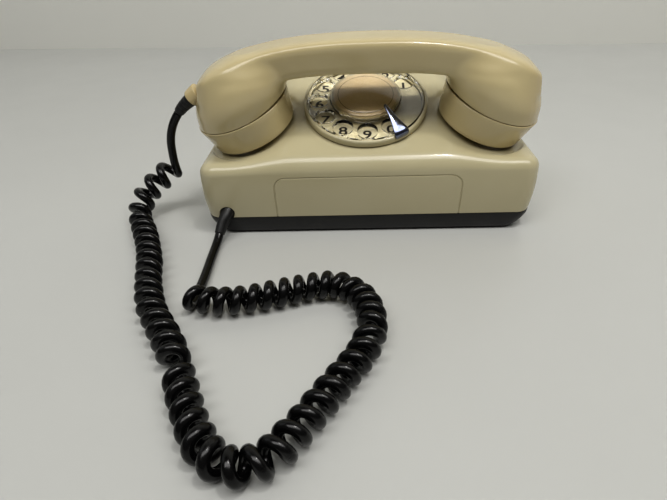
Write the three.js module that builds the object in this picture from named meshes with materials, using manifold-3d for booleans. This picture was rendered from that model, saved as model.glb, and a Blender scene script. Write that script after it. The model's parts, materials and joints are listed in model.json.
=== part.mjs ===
// A desk telephone with a rotary dial and a handset on a curly cord.
// Millimetres, +Z up, the user at -Y. The origin is at the middle of the footprint, on the table.
import * as THREE from "three";
import { mergeVertices } from "three/addons/utils/BufferGeometryUtils.js";
import Module from "manifold-3d";

const wasm = await Module();
wasm.setup();

// ---------------------------------------------------------------- driving dimensions
const GAP = 0.3; // clearance between neighbouring pieces
const WALL = 3; // plastic wall

const BODY_HALF_WIDTH = 106; // at the ridge
const BODY_HALF_DEPTH = 55;
const FOOT_HALF_WIDTH = 106; // of the housing at its lower edge
const FOOT_HALF_DEPTH = 52.4;
const CORNER_RADIUS = 10;
const RIDGE_Z = 50; // front edge of the top
const PART_LINE_Z = 13; // between the housing and the black tray

const DIAL_TILT = THREE.MathUtils.degToRad(23);
const DIAL_CENTRE = new THREE.Vector3(0, -7, 72);
const BEZEL_RADIUS = 40.8;
const WHEEL_RADIUS = 38.3;
const FINGER_HOLES = 10;
const FINGER_HOLE_RADIUS = 6.3;
const FINGER_HOLE_CIRCLE = 30.7;
const FIRST_HOLE_ANGLE = 31; // degrees, counted anticlockwise from +X
const HOLE_STEP = 30;

const HANDSET_LEAN = THREE.MathUtils.degToRad(13); // the handset leans towards the user
const HANDSET_CENTRE = new THREE.Vector3(0, -20, 79);
const CUP_OFFSET = 80; // of each cup's parting circle from the middle
const CUP_TILT = THREE.MathUtils.degToRad(19.5);
const CUP_RADIUS = 31.7; // at the parting line
const CUP_FACE_RADIUS = 28.8;
const CUP_HEIGHT = 20;
const WELL_RADIUS = 32.6;

const CHASSIS_TOP = 6; // upper face of the steel plate inside

// ---------------------------------------------------------------- materials
const material = (color, roughness, metalness = 0, opacity = 1) =>
  new THREE.MeshStandardMaterial({ color, roughness, metalness, opacity, transparent: opacity < 1 });

const BEIGE = material(0xc9bd97, 0.35);
const AGED_BEIGE = material(0xbda873, 0.38);
const BLACK = material(0x1a1818, 0.45);
const CORD_BLACK = material(0x161614, 0.25);
const IVORY = material(0xd2c8a4, 0.4);
const ACRYLIC = material(0xf2ecd6, 0.08, 0, 0.3);
const AMBER = material(0xc79a5a, 0.1, 0, 0.45);
const CARD = material(0xcdbf96, 0.8);
const CHROME = material(0xd8d8dc, 0.12, 1);
const STEEL = material(0x9a9c9e, 0.4, 1);
const BRASS = material(0xb8964a, 0.3, 1);
const COPPER = material(0x9a5a34, 0.5, 1);
const RUBBER = material(0x202020, 0.9);
const BOARD = material(0x8a5a2c, 0.6);

// ---------------------------------------------------------------- geometry helpers
function toSolid(geometry) {
  const bare = geometry.clone();
  Object.keys(bare.attributes)
    .filter((name) => name !== "position")
    .forEach((name) => bare.deleteAttribute(name));
  const merged = mergeVertices(bare, 1e-4);
  const corners = merged.index.array;
  const triangles = [];
  for (let i = 0; i < corners.length; i += 3) {
    const [a, b, c] = [corners[i], corners[i + 1], corners[i + 2]];
    if (a !== b && b !== c && c !== a) triangles.push(a, b, c);
  }
  const vertProperties = new Float32Array(merged.attributes.position.array);
  const triVerts = new Uint32Array(triangles);
  return new wasm.Manifold(new wasm.Mesh({ numProp: 3, vertProperties, triVerts }));
}

function toGeometry(solid) {
  const mesh = solid.getMesh();
  const geometry = new THREE.BufferGeometry();
  geometry.setAttribute("position", new THREE.BufferAttribute(new Float32Array(mesh.vertProperties), 3));
  geometry.setIndex(new THREE.BufferAttribute(new Uint32Array(mesh.triVerts), 1));
  geometry.computeVertexNormals();
  return geometry;
}

const joined = (...geometries) => toGeometry(geometries.map(toSolid).reduce((sum, next) => sum.add(next)));
const cut = (geometry, ...tools) =>
  toGeometry(tools.map(toSolid).reduce((left, tool) => left.subtract(tool), toSolid(geometry)));
const common = (first, second) => toGeometry(toSolid(first).intersect(toSolid(second)));

// The same triangles, turned over where they face inwards.
function facingOut(geometry) {
  const { position } = geometry.attributes;
  const corner = (i) => new THREE.Vector3().fromBufferAttribute(position, geometry.index.getX(i));
  let volume = 0;
  for (let i = 0; i < geometry.index.count; i += 3) {
    volume += corner(i).dot(corner(i + 1).cross(corner(i + 2)));
  }
  if (volume < 0) geometry.setIndex([...geometry.index.array].reverse());
  geometry.computeVertexNormals();
  return geometry;
}

// A closed solid through rings of equally many points, with a fan over each end.
function loft(rings) {
  const sides = rings[0].length;
  const points = rings.flat();
  const middle = (ring) => ring.reduce((sum, p) => sum.add(p), new THREE.Vector3()).divideScalar(sides);
  const first = points.length;
  points.push(middle(rings[0]), middle(rings[rings.length - 1]));
  const index = [];
  for (let i = 0; i < sides; i++) {
    const next = (i + 1) % sides;
    for (let k = 0; k < rings.length - 1; k++) {
      const [low, high] = [k * sides, (k + 1) * sides];
      index.push(low + i, low + next, high + next, low + i, high + next, high + i);
    }
    const top = (rings.length - 1) * sides;
    index.push(first, next, i, first + 1, top + i, top + next);
  }
  const geometry = new THREE.BufferGeometry().setFromPoints(points);
  geometry.setIndex(index);
  return facingOut(geometry);
}

function roundedRectangle(halfX, halfY, radius, z, stepsPerCorner = 5) {
  const ring = [];
  const corners = [[1, 1], [-1, 1], [-1, -1], [1, -1]];
  corners.forEach(([sx, sy], quarter) => {
    for (let i = 0; i <= stepsPerCorner; i++) {
      const angle = (quarter + i / stepsPerCorner) * Math.PI / 2;
      const x = sx * (halfX - radius) + radius * Math.cos(angle);
      const y = sy * (halfY - radius) + radius * Math.sin(angle);
      ring.push(new THREE.Vector3(x, y, z));
    }
  });
  return ring;
}

const circle = (radius, z, sides, x = 0, y = 0) =>
  Array.from({ length: sides }, (_, i) => {
    const angle = (i / sides) * 2 * Math.PI;
    return new THREE.Vector3(x + radius * Math.cos(angle), y + radius * Math.sin(angle), z);
  });

// A disc 2 mm thick with any outline, its underside at height z.
const flatDisc = (rim, z) =>
  new THREE.ExtrudeGeometry(new THREE.Shape(rim), { depth: 2, bevelEnabled: false }).translate(0, 0, z);

// An upright cylinder from z low to z high, at a place in plan.
const rod = (radius, low, high, sides = 20, x = 0, y = 0) =>
  loft([circle(radius, low, sides, x, y), circle(radius, high, sides, x, y)]);

const box = (width, depth, height, x, y, z) => new THREE.BoxGeometry(width, depth, height).translate(x, y, z);

// A turned piece about Z from [radius, z] pairs.
function turned(profile, sides = 40) {
  const outline = profile.map(([r, z]) => new THREE.Vector2(r, z));
  return facingOut(new THREE.LatheGeometry(outline, sides).rotateX(Math.PI / 2));
}

// A tube along a smooth path, with radius growing or shrinking from one end to the other.
function taperedTube(points, startRadius, endRadius, sides, steps) {
  const path = new THREE.CatmullRomCurve3(points.map((p) => new THREE.Vector3(...p)), false, "centripetal");
  const frames = path.computeFrenetFrames(steps, false);
  const rings = [];
  for (let k = 0; k <= steps; k++) {
    const centre = path.getPointAt(k / steps);
    const radius = THREE.MathUtils.lerp(startRadius, endRadius, k / steps);
    rings.push(Array.from({ length: sides }, (_, i) => {
      const angle = (i / sides) * 2 * Math.PI;
      return centre.clone()
        .addScaledVector(frames.normals[k], radius * Math.cos(angle))
        .addScaledVector(frames.binormals[k], radius * Math.sin(angle));
    }));
  }
  return loft(rings);
}

const telephone = new THREE.Group();

function add(name, geometry, finish, parent = telephone) {
  const mesh = new THREE.Mesh(geometry, finish);
  mesh.name = name;
  parent.add(mesh);
  return mesh;
}

// Carries a geometry made in a group's frame into the telephone's frame.
function inBody(geometry, ...groups) {
  groups.forEach((group) => group.updateMatrix());
  return groups.reduce((result, group) => result.applyMatrix4(group.matrix), geometry.clone());
}

// ---------------------------------------------------------------- frames of the tilted pieces
const dial = new THREE.Group();
dial.position.copy(DIAL_CENTRE);
dial.rotation.x = DIAL_TILT;
telephone.add(dial);

const handset = new THREE.Group();
handset.position.copy(HANDSET_CENTRE);
handset.rotation.x = HANDSET_LEAN;
telephone.add(handset);

// Each cup's frame: origin at its parting circle, +Z into the handset.
const cups = { left: new THREE.Group(), right: new THREE.Group() };
Object.entries(cups).forEach(([side, cup]) => {
  const sign = side === "left" ? -1 : 1;
  cup.position.x = sign * CUP_OFFSET;
  cup.rotation.y = sign * CUP_TILT;
  handset.add(cup);
});
telephone.updateMatrixWorld(true);

// ---------------------------------------------------------------- cord route
const COIL_RADIUS = 8.6;
const LEAD_RADIUS = 2.75;

const HANDSET_COLLAR = [[-104.5, -25.2, 88.5], [-107.6, -25, 86.4], [-110.6, -24.8, 84]];
const HANDSET_RELIEF = [
  [-110.9, -24.8, 83.8], [-113.6, -24.6, 81.8], [-117, -24.2, 79], [-120.4, -23.6, 75.6],
];
const HANDSET_LEAD = [
  [-120.7, -23.5, 75.3], [-124.8, -23, 70], [-128.4, -22.6, 63], [-130.6, -22.4, 55], [-131, -22.6, 47],
  [-131, -23, 40.8],
];
const COIL_ROUTE = [
  [-134, -16.5, 35], [-140.5, -19.5, 30.3], [-147, -22.8, 25.6], [-152.5, -26.5, 20.6],
  [-155.8, -31.5, 15.8], [-156.2, -38.5, 11.8], [-153.5, -47, 9.5], [-148, -57.5, 8.8],
  [-140.5, -73, 8.7], [-132, -94, 8.7], [-124.5, -118, 8.7],
  [-116, -139, 8.7], [-106, -155, 8.7], [-97.5, -168, 8.7], [-89, -184, 8.7], [-81, -201, 8.7],
  [-73, -216, 8.7], [-64, -227.5, 8.7], [-54, -232, 8.7], [-43, -228.5, 8.7], [-33.5, -217, 8.7],
  [-24, -202.5, 8.7], [-14.5, -187.5, 8.7], [-6, -173.5, 8.7], [-1.2, -157.5, 8.7], [-2, -142, 8.7],
  [-8, -129, 8.7], [-19, -122, 8.7], [-32, -123, 8.7], [-46, -127.5, 8.7], [-60, -131.8, 8.7],
  [-76, -135, 8.7], [-90, -133.6, 8.7], [-97.5, -130.6, 8.7],
];
const BASE_LEAD = [
  [-97.2, -121.4, 2.85], [-96.8, -112, 2.85], [-97, -98, 2.85], [-97.5, -84, 2.85], [-97.6, -74, 3.1],
  [-97.3, -69, 4], [-96.8, -65.3, 5.6], [-96.4, -63.65, 6.95],
];
const BASE_RELIEF = [
  [-91.4, -50.6, 17.6], [-92.6, -54.6, 15.6], [-94.8, -59.2, 11.4], [-96.3, -63.4, 7.2],
];

// ---------------------------------------------------------------- housing
// Height of the top surface before the cup wells are cut into it.
function topHeight(x, y) {
  const ramp = DIAL_CENTRE.z + (y - DIAL_CENTRE.y) * Math.tan(DIAL_TILT);
  const rear = RIDGE_Z + (BODY_HALF_DEPTH - y) * 1.9;
  const side = THREE.MathUtils.smoothstep(Math.abs(x), 46, 90);
  return THREE.MathUtils.lerp(Math.min(ramp, rear), RIDGE_Z, side);
}

// A block from the table up to the top surface lowered by a depth.
function underTop(depth, columns, rows) {
  const [halfX, halfY] = [BODY_HALF_WIDTH + 4, BODY_HALF_DEPTH + 2];
  const rings = [];
  for (let k = 0; k <= rows; k++) {
    const y = THREE.MathUtils.lerp(-halfY, halfY, k / rows);
    const ring = [];
    for (let i = 0; i <= columns; i++) {
      const x = THREE.MathUtils.lerp(-halfX, halfX, i / columns);
      ring.push(new THREE.Vector3(x, y, topHeight(x, y) - depth));
    }
    ring.push(new THREE.Vector3(halfX, y, 0), new THREE.Vector3(-halfX, y, 0));
    rings.push(ring);
  }
  return loft(rings);
}

// Height, half width and half depth of the walls, which bulge a little and turn in at the ridge.
const BODY_LEVELS = [
  [PART_LINE_Z + GAP, FOOT_HALF_WIDTH, FOOT_HALF_DEPTH],
  [30, BODY_HALF_WIDTH + 1.5, BODY_HALF_DEPTH - 1.2],
  [45.5, BODY_HALF_WIDTH + 1, BODY_HALF_DEPTH],
  [RIDGE_Z + 0.6, BODY_HALF_WIDTH - 1, BODY_HALF_DEPTH - 1.4],
  [110, BODY_HALF_WIDTH - 1, BODY_HALF_DEPTH - 1.4],
];

const bodyBlock = (inset, drop) => loft(BODY_LEVELS.map(([z, halfX, halfY], i) =>
  roundedRectangle(halfX - inset, halfY - inset, CORNER_RADIUS - inset / 2, i ? z : z - drop)));

// The room that a cup sits in and is lifted out of, widened and deepened by a wall.
function well(side, wall = 0, sides = 32) {
  const floor = circle(WELL_RADIUS + wall, -CUP_HEIGHT - 0.4 - wall, sides);
  const placed = floor.map((p) => cups[side].localToWorld(p));
  const above = placed.map((p) => p.clone().add(new THREE.Vector3(0, 0, 60)));
  const alongCup = circle(WELL_RADIUS + wall, 45, sides).map((p) => cups[side].localToWorld(p));
  return joined(loft([placed, above]), loft([placed, alongCup]));
}

function frontPanelGroove() {
  const [halfWidth, low, high, radius, groove] = [59, PART_LINE_Z - 4, 41.5, 7, 1];
  const outline = (inset) => {
    const path = new THREE.Shape();
    path.moveTo(-halfWidth + inset, low);
    path.lineTo(halfWidth - inset, low);
    path.lineTo(halfWidth - inset, high - radius);
    path.absarc(halfWidth - radius, high - radius, radius - inset, 0, Math.PI / 2, false);
    path.absarc(-halfWidth + radius, high - radius, radius - inset, Math.PI / 2, Math.PI, false);
    path.closePath();
    return path;
  };
  const settings = { depth: 4, bevelEnabled: false, curveSegments: 5 };
  const extrude = (shape) => new THREE.ExtrudeGeometry(shape, settings);
  const inner = extrude(outline(groove)).scale(1, 1, 1.5).translate(0, -0.01, -1);
  const lowerSlot = box(2 * (halfWidth - groove), 3, 8, 0, low, 2);
  return cut(extrude(outline(0)), inner, lowerSlot)
    .rotateX(Math.PI / 2 + Math.atan2(BODY_HALF_DEPTH - FOOT_HALF_DEPTH, RIDGE_Z - PART_LINE_Z))
    .translate(0, -FOOT_HALF_DEPTH + 0.6, 0);
}

const baseReliefRoom = taperedTube(BASE_RELIEF, 4.9, 3.7, 16, 5);
const plungerRoom = (side) => inBody(rod(4.7, -CUP_HEIGHT - 8, -CUP_HEIGHT + 2, 20), cups[side], handset);

function makeHousing() {
  const outside = cut(common(bodyBlock(0, 0), underTop(0, 24, 13)), well("left"), well("right"));
  const inside = cut(
    common(bodyBlock(WALL, 1), underTop(WALL, 12, 8)),
    well("left", WALL),
    well("right", WALL),
  );
  const dialOpening = inBody(rod(37, -14, 12, 40), dial);
  const panel = frontPanelGroove();
  const plungerRooms = Object.keys(cups).map(plungerRoom);
  add("housing", cut(outside, inside, dialOpening, baseReliefRoom, panel, ...plungerRooms), BEIGE);
}

// ---------------------------------------------------------------- base tray, feet, screws
const FOOT_PLACES = [[-84, -38], [84, -38], [-84, 38], [84, 38]];
const SCREW_PLACES = [[-86, -20], [86, -20]];
const VOLUME_WHEEL_PLACE = [-24, -30];
const INLET = [60, FOOT_HALF_DEPTH - 1, 8];

function makeTray() {
  const outside = loft([
    roundedRectangle(99, FOOT_HALF_DEPTH - 2.4, CORNER_RADIUS, 1.2),
    roundedRectangle(103, FOOT_HALF_DEPTH - 0.8, CORNER_RADIUS, 7),
    roundedRectangle(FOOT_HALF_WIDTH, FOOT_HALF_DEPTH, CORNER_RADIUS, PART_LINE_Z),
  ]);
  const inside = loft([
    roundedRectangle(95.5, FOOT_HALF_DEPTH - 6, CORNER_RADIUS - 2, 4),
    roundedRectangle(FOOT_HALF_WIDTH - WALL, FOOT_HALF_DEPTH - WALL, CORNER_RADIUS - 2, PART_LINE_Z + 1),
  ]);
  const footRooms = FOOT_PLACES.map(([x, y]) => rod(6.3, 0, 2.8, 16, x, y));
  const screwRooms = SCREW_PLACES.map(([x, y]) => rod(4.4, 0, 5, 16, x, y));
  const wheelRoom = rod(9.6, 0, 5, 24, ...VOLUME_WHEEL_PLACE);
  const inletRoom = rod(4.3, -10, 10, 16).rotateX(Math.PI / 2).translate(...INLET);
  const rooms = [...footRooms, ...screwRooms, wheelRoom, inletRoom, baseReliefRoom];
  add("base_tray", cut(outside, inside, ...rooms), BLACK);

  FOOT_PLACES.forEach(([x, y], i) => {
    const profile = [[0, 0], [5.2, 0], [6, 0.8], [6, 2.5], [0, 2.5]];
    const foot = add(`rubber_foot_${i + 1}`, turned(profile, 14), RUBBER);
    foot.position.set(x, y, 0);
  });
  SCREW_PLACES.forEach(([x, y], i) => {
    const head = turned([[0, 1.5], [3.4, 1.5], [4, 2.2], [4, 3.4], [2, 3.4], [2, 10], [0, 10]], 16);
    add(`base_screw_${i + 1}`, cut(head, box(9, 0.9, 1.2, 0, 0, 1.6)), STEEL).position.set(x, y, 0);
  });
}

function makeVolumeWheel() {
  const rim = Array.from({ length: 36 }, (_, i) => {
    const angle = (i / 36) * 2 * Math.PI;
    const radius = i % 3 ? 9.1 : 8.4;
    return new THREE.Vector2(radius * Math.cos(angle), radius * Math.sin(angle));
  });
  const disc = flatDisc(rim, 1.8);
  const wheel = add("ringer_volume_wheel", joined(disc, rod(2.2, 3, 9, 14)), BLACK);
  wheel.position.set(...VOLUME_WHEEL_PLACE, 0);
}

function makeCordInlet() {
  const gland = turned([[0, 2.6], [5.6, 2.6], [6.2, 2], [6.2, 1.3], [4, 1.3], [4, -4], [0, -4]], 18);
  add("line_cord_inlet", gland.rotateX(-Math.PI / 2), RUBBER).position.set(...INLET);
}

// ---------------------------------------------------------------- inside the base
function makeChassis() {
  const rooms = SCREW_PLACES.map(([x, y]) => rod(2.4, 0, 10, 12, x, y));
  const wheelRoom = rod(2.7, 0, 10, 12, ...VOLUME_WHEEL_PLACE);
  add("chassis_plate", cut(box(182, 86, 1.6, 0, 0, CHASSIS_TOP - 0.8), ...rooms, wheelRoom), STEEL);
}

function makeRinger() {
  const gongs = [[-79, 16], [-33, 16]];
  gongs.forEach(([x, y], i) => {
    const bell = [[2.6, 29], [12, 27.6], [18.4, 21.4], [20, 15.5], [18.4, 15.5], [17, 20.6], [11.4, 26],
      [2.6, 27.4], [2.6, 29]];
    add(`gong_${i + 1}`, turned(bell, 22), BRASS).position.set(x, y, 0);
    const foot = CHASSIS_TOP + GAP;
    const post = [[0, foot], [5, foot], [5, 9], [2.2, 10.5], [2.2, 29.4], [4.2, 29.4], [4.2, 31], [0, 31]];
    add(`gong_post_${i + 1}`, turned(post, 10), STEEL).position.set(x, y, 0);
  });
  const plate = box(44, 20, 1.5, -60, -34, 7.3);
  const cheeks = [-73, -47].map((x) => box(2, 16, 22, x, -34, 18.5));
  add("ringer_frame", joined(plate, ...cheeks), STEEL);
  const coil = rod(8.6, -11.5, 11.5, 20).rotateY(Math.PI / 2).translate(-60, -34, 18.6);
  add("ringer_coil", coil, COPPER);
  const arm = box(2.4, 34, 1.6, 0, 19, 0);
  const ball = new THREE.SphereGeometry(2.2, 12, 8).translate(0, 38, 0);
  const hub = rod(2.4, -3, 3, 12);
  add("clapper", joined(arm, ball, hub), STEEL).position.set(-56, -21.5, 19);
  add("clapper_pivot", box(8, 5, 8.6, -56, -21.5, 10.9), STEEL);
}

function makeNetwork() {
  add("network_board", box(64, 46, 1.6, 60, 14, 10.2), BOARD);
  [-6, 34].forEach((y, i) => add(`board_rail_${i + 1}`, box(58, 4, 2.8, 60, y, 7.7), BLACK));
  add("capacitor", rod(7.4, -15, 15, 20).rotateY(Math.PI / 2).translate(48, 27, 19), STEEL);
  add("induction_coil", box(22, 18, 18, 78, 24, 20.4), COPPER);
  const teeth = Array.from({ length: 6 }, (_, i) => box(0.8, 9, 3, 45 + i * 6, -2, 18));
  add("terminal_strip", joined(box(38, 9, 6, 60, -2, 14.4), ...teeth), BLACK);
}

// ---------------------------------------------------------------- hook switch
const STEM_LENGTH = 24;
const LEVER_Z = 35.6;
const LEVER_PIVOT_Y = 24;

function makeHookSwitch() {
  const plunger = [[0, -0.35], [3.6, -0.35], [4.2, -1], [4.2, -6.4], [2.3, -6.4], [2.3, -STEM_LENGTH],
    [0, -STEM_LENGTH]];
  Object.entries(cups).forEach(([side, cup]) => {
    const mesh = add(`plunger_${side}`, turned(plunger, 14), BLACK, cup);
    mesh.position.z = -CUP_HEIGHT;
  });
  const bar = box(146, 7, 2, 0, -10.5, LEVER_Z);
  const tongue = box(16, 37, 2, 0, 7, LEVER_Z);
  const barrel = rod(3, -8, 8, 14).rotateY(Math.PI / 2).translate(0, LEVER_PIVOT_Y, LEVER_Z);
  const bore = rod(1.8, -20, 20, 14).rotateY(Math.PI / 2).translate(0, LEVER_PIVOT_Y, LEVER_Z);
  add("hook_lever", cut(joined(bar, tongue, barrel), bore), STEEL);
  const pin = rod(1.5, -13.5, 13.5, 14).rotateY(Math.PI / 2).translate(0, LEVER_PIVOT_Y, LEVER_Z);
  const cheeks = [-11, 11].map((x) => box(3, 9, 33, x, LEVER_PIVOT_Y, 22.8));
  const foot = box(28, 12, 1.6, 0, LEVER_PIVOT_Y, 7.1);
  add("hook_bracket", joined(foot, pin, ...cheeks), STEEL);
  const leaves = [22, 25, 28, 31].map((z) => box(8, 26, 0.7, 0, 0, z));
  add("hook_contacts", joined(box(12, 8, 26, 0, 10, 19.3), ...leaves), BRASS);
}

// ---------------------------------------------------------------- dial
const holeAngle = (number) => THREE.MathUtils.degToRad(FIRST_HOLE_ANGLE + number * HOLE_STEP);
const STOP_ANGLE = THREE.MathUtils.degToRad(303);

function makeDialFace() {
  const plate = [[4.2, -2.6], [36.5, -2.6], [36.5, 0.2], [4.2, 0.2], [4.2, -2.6]];
  add("number_plate", turned(plate, 40), IVORY, dial);
  const ring = [[37, GAP], [BEZEL_RADIUS, GAP], [BEZEL_RADIUS, 3.2], [40.2, 4.6], [39.4, 5], [38.8, 4.6],
    [38.7, 1.6], [37, 1.6], [37, GAP]];
  const stopRoom = box(8, 13.4, 8, 43.5, -0.2, 4.3).rotateZ(STOP_ANGLE);
  add("dial_bezel", cut(turned(ring, 40), stopRoom), BEIGE, dial);
}

function makeFingerStop() {
  const blade = new THREE.Shape();
  blade.moveTo(43, -7);
  blade.lineTo(43, 6.6);
  blade.lineTo(38.6, 6.6);
  blade.quadraticCurveTo(31, 1.4, 20.6, 1.2);
  blade.lineTo(20.2, -0.8);
  blade.quadraticCurveTo(32, -1.6, 38.6, -7);
  blade.closePath();
  const climb = new THREE.Matrix4().set(1, 0, 0, 0, 0, 1, 0, 0, -0.32, 0, 1, 0, 0, 0, 0, 1);
  const arm = new THREE.ExtrudeGeometry(blade, { depth: 1.3, bevelEnabled: false, curveSegments: 6 })
    .applyMatrix4(climb)
    .translate(0, 0, 19.4);
  const foot = box(3.2, 12.4, 5, 41.5, -0.2, 3.4);
  add("finger_stop", joined(arm, foot).rotateZ(STOP_ANGLE), CHROME, dial);
}

function makeFingerWheel() {
  const profile = [[3.4, 2.3], [WHEEL_RADIUS, 2.3], [WHEEL_RADIUS, 4.7], [37.6, 5.3], [3.4, 5.3], [3.4, 2.3]];
  const disc = turned(profile, 40);
  const holes = Array.from({ length: FINGER_HOLES }, (_, i) => {
    const angle = holeAngle(i);
    const [x, y] = [FINGER_HOLE_CIRCLE * Math.cos(angle), FINGER_HOLE_CIRCLE * Math.sin(angle)];
    return rod(FINGER_HOLE_RADIUS, 0, 8, 16, x, y);
  });
  add("finger_wheel", cut(disc, ...holes), ACRYLIC, dial);
  add("card_holder", turned([[0, 5.6], [22, 5.6], [22, 7.5], [0, 7.5]], 30), IVORY, dial);
  add("number_card", turned([[0, 7.8], [20.4, 7.8], [20.4, 8.2], [0, 8.2]], 30), CARD, dial);
  const cover = [[0, 14.2], [12, 13.6], [20.6, 11.6], [23.6, 8.2], [23.6, 5.6], [22.4, 5.6], [22.4, 7.8],
    [19.6, 10.6], [11.8, 12.4], [0, 13]];
  add("card_cover", turned(cover, 30), AMBER, dial);
}

function makeDialMechanism() {
  add("dial_shaft", turned([[0, -22], [3, -22], [3, 5.3], [0, 5.3]], 16), STEEL, dial);
  const posts = [90, 210, 330].map((degrees) => {
    const angle = THREE.MathUtils.degToRad(degrees);
    return rod(2.4, -7, -2.9, 10, 30 * Math.cos(angle), 30 * Math.sin(angle));
  });
  const plate = turned([[3.6, -8.4], [33, -8.4], [33, -6.8], [3.6, -6.8], [3.6, -8.4]], 28);
  add("dial_frame", joined(plate, ...posts), STEEL, dial);
  const lobes = Array.from({ length: 48 }, (_, i) => {
    const angle = (i / 48) * 2 * Math.PI;
    const radius = i % 2 ? 15.4 : 16.6;
    return new THREE.Vector2(radius * Math.cos(angle), radius * Math.sin(angle));
  });
  const gear = flatDisc(lobes, -13);
  add("dial_gear", cut(gear, rod(3.3, -20, 0, 16)), BRASS, dial);
  const leaves = [-10.4, -12.4].map((z) => box(14, 4, 0.6, 21.6, 0, z + 0.2));
  const stack = box(6, 8, 7, 25.4, 0, -12.4);
  add("pulse_contacts", cut(joined(stack, ...leaves), rod(17.4, -20, -6, 32)), BRASS, dial);
  add("speed_governor", rod(6, -8, 8, 18).rotateX(Math.PI / 2).translate(-24.4, 0, -15), BRASS, dial);
}

// ---------------------------------------------------------------- handset
// A cross-section of the grip at x: flat-sided with round corners.
function gripSection(x, bottom, top, halfWidth, sides = 16) {
  const [middle, halfHeight, squareness] = [(bottom + top) / 2, (top - bottom) / 2, 0.62];
  return Array.from({ length: sides }, (_, i) => {
    const angle = ((i + 0.5) / sides) * 2 * Math.PI;
    const [c, s] = [Math.cos(angle), Math.sin(angle)];
    const y = halfWidth * Math.sign(c) * Math.abs(c) ** squareness;
    const upDown = Math.sign(s) * Math.abs(s) ** squareness;
    const fall = GRIP_SHEAR * (y + halfWidth) * (1 + upDown) / 2;
    return new THREE.Vector3(x, y, middle + halfHeight * upDown - fall);
  });
}

// Stations from the middle outwards: distance, bottom, top, half width.
const GRIP = [
  [0, 22.6, 45.6, 16.6], [20, 22.4, 45.2, 16.6], [40, 21.2, 43.8, 16.8], [60, 18, 41, 18.4], [76, 12, 37, 21],
  [88, 8, 32.6, 23], [96, 8, 28.4, 22], [101.5, 10, 23, 18],
];
const GRIP_SHEAR = 0.2; // fall of the grip's top towards the back

// Rings of a bulb from the parting circle upwards: distance, height, tilt in degrees, half widths in x and y.
const BULB = [
  [80, 0, 19.5, 31.7, 31.7], [79, 9, 13, 31.2, 32.6], [76.6, 18, 7, 29.2, 31.2], [74, 26, 3, 25, 27.6],
  [72, 32, 1, 19, 21], [70, 35, 0, 10, 11],
];
const BULB_SHEAR = 0.26; // the same for the bulbs, growing with height
const BULB_TOP = BULB[BULB.length - 1][1];

function bulb(sign, sides = 24) {
  return loft(BULB.map(([x, z, degrees, halfX, halfY]) => {
    const tilt = THREE.MathUtils.degToRad(degrees);
    return Array.from({ length: sides }, (_, i) => {
      const angle = (i / sides) * 2 * Math.PI;
      const [across, y] = [halfX * Math.cos(angle), halfY * Math.sin(angle)];
      const fall = BULB_SHEAR * (y + halfY) * z / BULB_TOP;
      return new THREE.Vector3(sign * (x + across * Math.cos(tilt)), y, z - across * Math.sin(tilt) - fall);
    });
  }));
}

function makeHandset() {
  const stations = [...GRIP.slice(1).reverse().map(([x, ...rest]) => [-x, ...rest]), ...GRIP];
  const grip = loft(stations.map((station) => gripSection(...station)));
  const rooms = Object.values(cups).map((cup) => {
    const room = turned([[0, -1], [28, -1], [28, 0], [26, 3], [22, 7], [16, 10], [0, 10]], 24);
    cup.updateMatrix();
    return room.applyMatrix4(cup.matrix);
  });
  const halfPath = [[0, 0, 34], [44, 0, 30], [64, 0, 22], [76, 0, 10]];
  const wirePath = [...halfPath.slice(1).reverse().map(([x, y, z]) => [-x, y, z]), ...halfPath];
  const wireWay = taperedTube(wirePath, 6, 6, 8, 12);
  const toHandset = handset.matrixWorld.clone().invert();
  const collarSeat = taperedTube(HANDSET_COLLAR, 6.6, 6, 16, 2).applyMatrix4(toHandset);
  const solid = joined(grip, bulb(-1), bulb(1));
  add("handset_shell", cut(solid, ...rooms, wireWay, collarSeat), AGED_BEIGE, handset);

  const profile = [[0, -CUP_HEIGHT], [26, -CUP_HEIGHT], [28, -19.2], [CUP_FACE_RADIUS, -17.6],
    [CUP_RADIUS, -0.4], [29, -0.4], [26.4, -16.6], [0, -16.6]];
  const names = { left: "transmitter", right: "receiver" };
  const rings = { left: [[0, 1], [8, 6], [16, 6]], right: [[0, 1], [6, 6]] };
  Object.entries(cups).forEach(([side, cup]) => {
    const holes = rings[side].flatMap(([radius, count]) => Array.from({ length: count }, (_, i) => {
      const angle = (i / count) * 2 * Math.PI + 0.2;
      return rod(1.3, -24, -12, 6, radius * Math.cos(angle), radius * Math.sin(angle));
    }));
    add(`${names[side]}_cap`, cut(turned(profile, 32), ...holes), AGED_BEIGE, cup);
    const capsule = [[0, -16.2], [21, -16.2], [25.4, -13], [25.4, -7], [20, -4.6], [0, -4.6]];
    add(`${names[side]}_capsule`, turned(capsule, 24), STEEL, cup);
  });
}

// ---------------------------------------------------------------- cord
function makeCord() {
  add("handset_cord_collar", taperedTube(HANDSET_COLLAR, 6.2, 5.6, 12, 2), AGED_BEIGE);
  add("handset_strain_relief", taperedTube(HANDSET_RELIEF, 4.4, 3.4, 12, 5), BLACK);
  add("handset_cord_lead", taperedTube(HANDSET_LEAD, LEAD_RADIUS, LEAD_RADIUS, 8, 8), CORD_BLACK);
  add("handset_cord_coil", taperedTube(COIL_ROUTE, COIL_RADIUS, COIL_RADIUS, 8, 44), CORD_BLACK);
  add("base_cord_lead", taperedTube(BASE_LEAD, LEAD_RADIUS, LEAD_RADIUS, 8, 8), CORD_BLACK);
  add("base_strain_relief", taperedTube(BASE_RELIEF, 4.5, 3.3, 12, 6), BLACK);
}

makeHousing();
makeTray();
makeVolumeWheel();
makeCordInlet();
makeChassis();
makeRinger();
makeNetwork();
makeHookSwitch();
makeDialFace();
makeFingerStop();
makeFingerWheel();
makeDialMechanism();
makeHandset();
makeCord();

export default telephone;
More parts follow.
